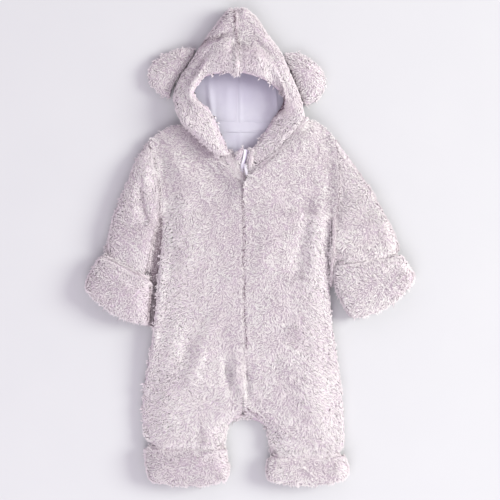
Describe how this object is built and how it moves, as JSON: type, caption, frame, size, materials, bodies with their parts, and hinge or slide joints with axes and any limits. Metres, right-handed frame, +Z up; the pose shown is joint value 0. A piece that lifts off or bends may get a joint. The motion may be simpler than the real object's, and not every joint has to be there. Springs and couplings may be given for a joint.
{
  "type": "hooded romper",
  "caption": "Hooded baby romper in curly fleece with round ears on the hood, jersey lining, a front zip and turned-up sleeve and leg ends, laid flat on its back.",
  "frame": {"origin": "middle of the outline, on the surface that the garment lies on", "axes": "+X to the wearer's left, +Y from the feet to the top of the hood, +Z up from the surface"},
  "size_m": [0.4735, 0.6877, 0.0476],
  "materials": {
    "curly_fleece": "curly pile, about 6 mm",
    "jersey_lining": "smooth white cotton jersey",
    "zip_tape": "white woven tape",
    "white_lacquered_metal": "white lacquer"
  },
  "bodies": {
    "garment": {"back_left": "curly_fleece", "back_lining": "jersey_lining", "back_right": "curly_fleece", "ear_back_left": "curly_fleece", "ear_back_right": "curly_fleece", "ear_front_left": "curly_fleece", "ear_front_right": "curly_fleece", "front_left": "curly_fleece", "front_right": "curly_fleece", "hood_left": "curly_fleece", "hood_lining_left": "jersey_lining", "hood_lining_right": "jersey_lining", "hood_right": "curly_fleece", "leg_cuff_left": "curly_fleece", "leg_cuff_right": "curly_fleece", "sleeve_cuff_left": "curly_fleece", "sleeve_cuff_right": "curly_fleece", "sleeve_left": "curly_fleece", "sleeve_right": "curly_fleece", "zip_guard": "curly_fleece", "zip_slider": "white_lacquered_metal", "zip_tape_left": "zip_tape", "zip_tape_right": "zip_tape"},
    "pull": {"zip_pull": "white_lacquered_metal"}
  },
  "joints": [
    {"name": "zip_pull_hinge", "type": "hinge", "parent": "garment", "child": "pull", "pos_m": [-0.0062, 0.115, 0.0284], "axis": [-0.9801, -0.1987, 0], "range_deg": [0, 140]}
  ]
}
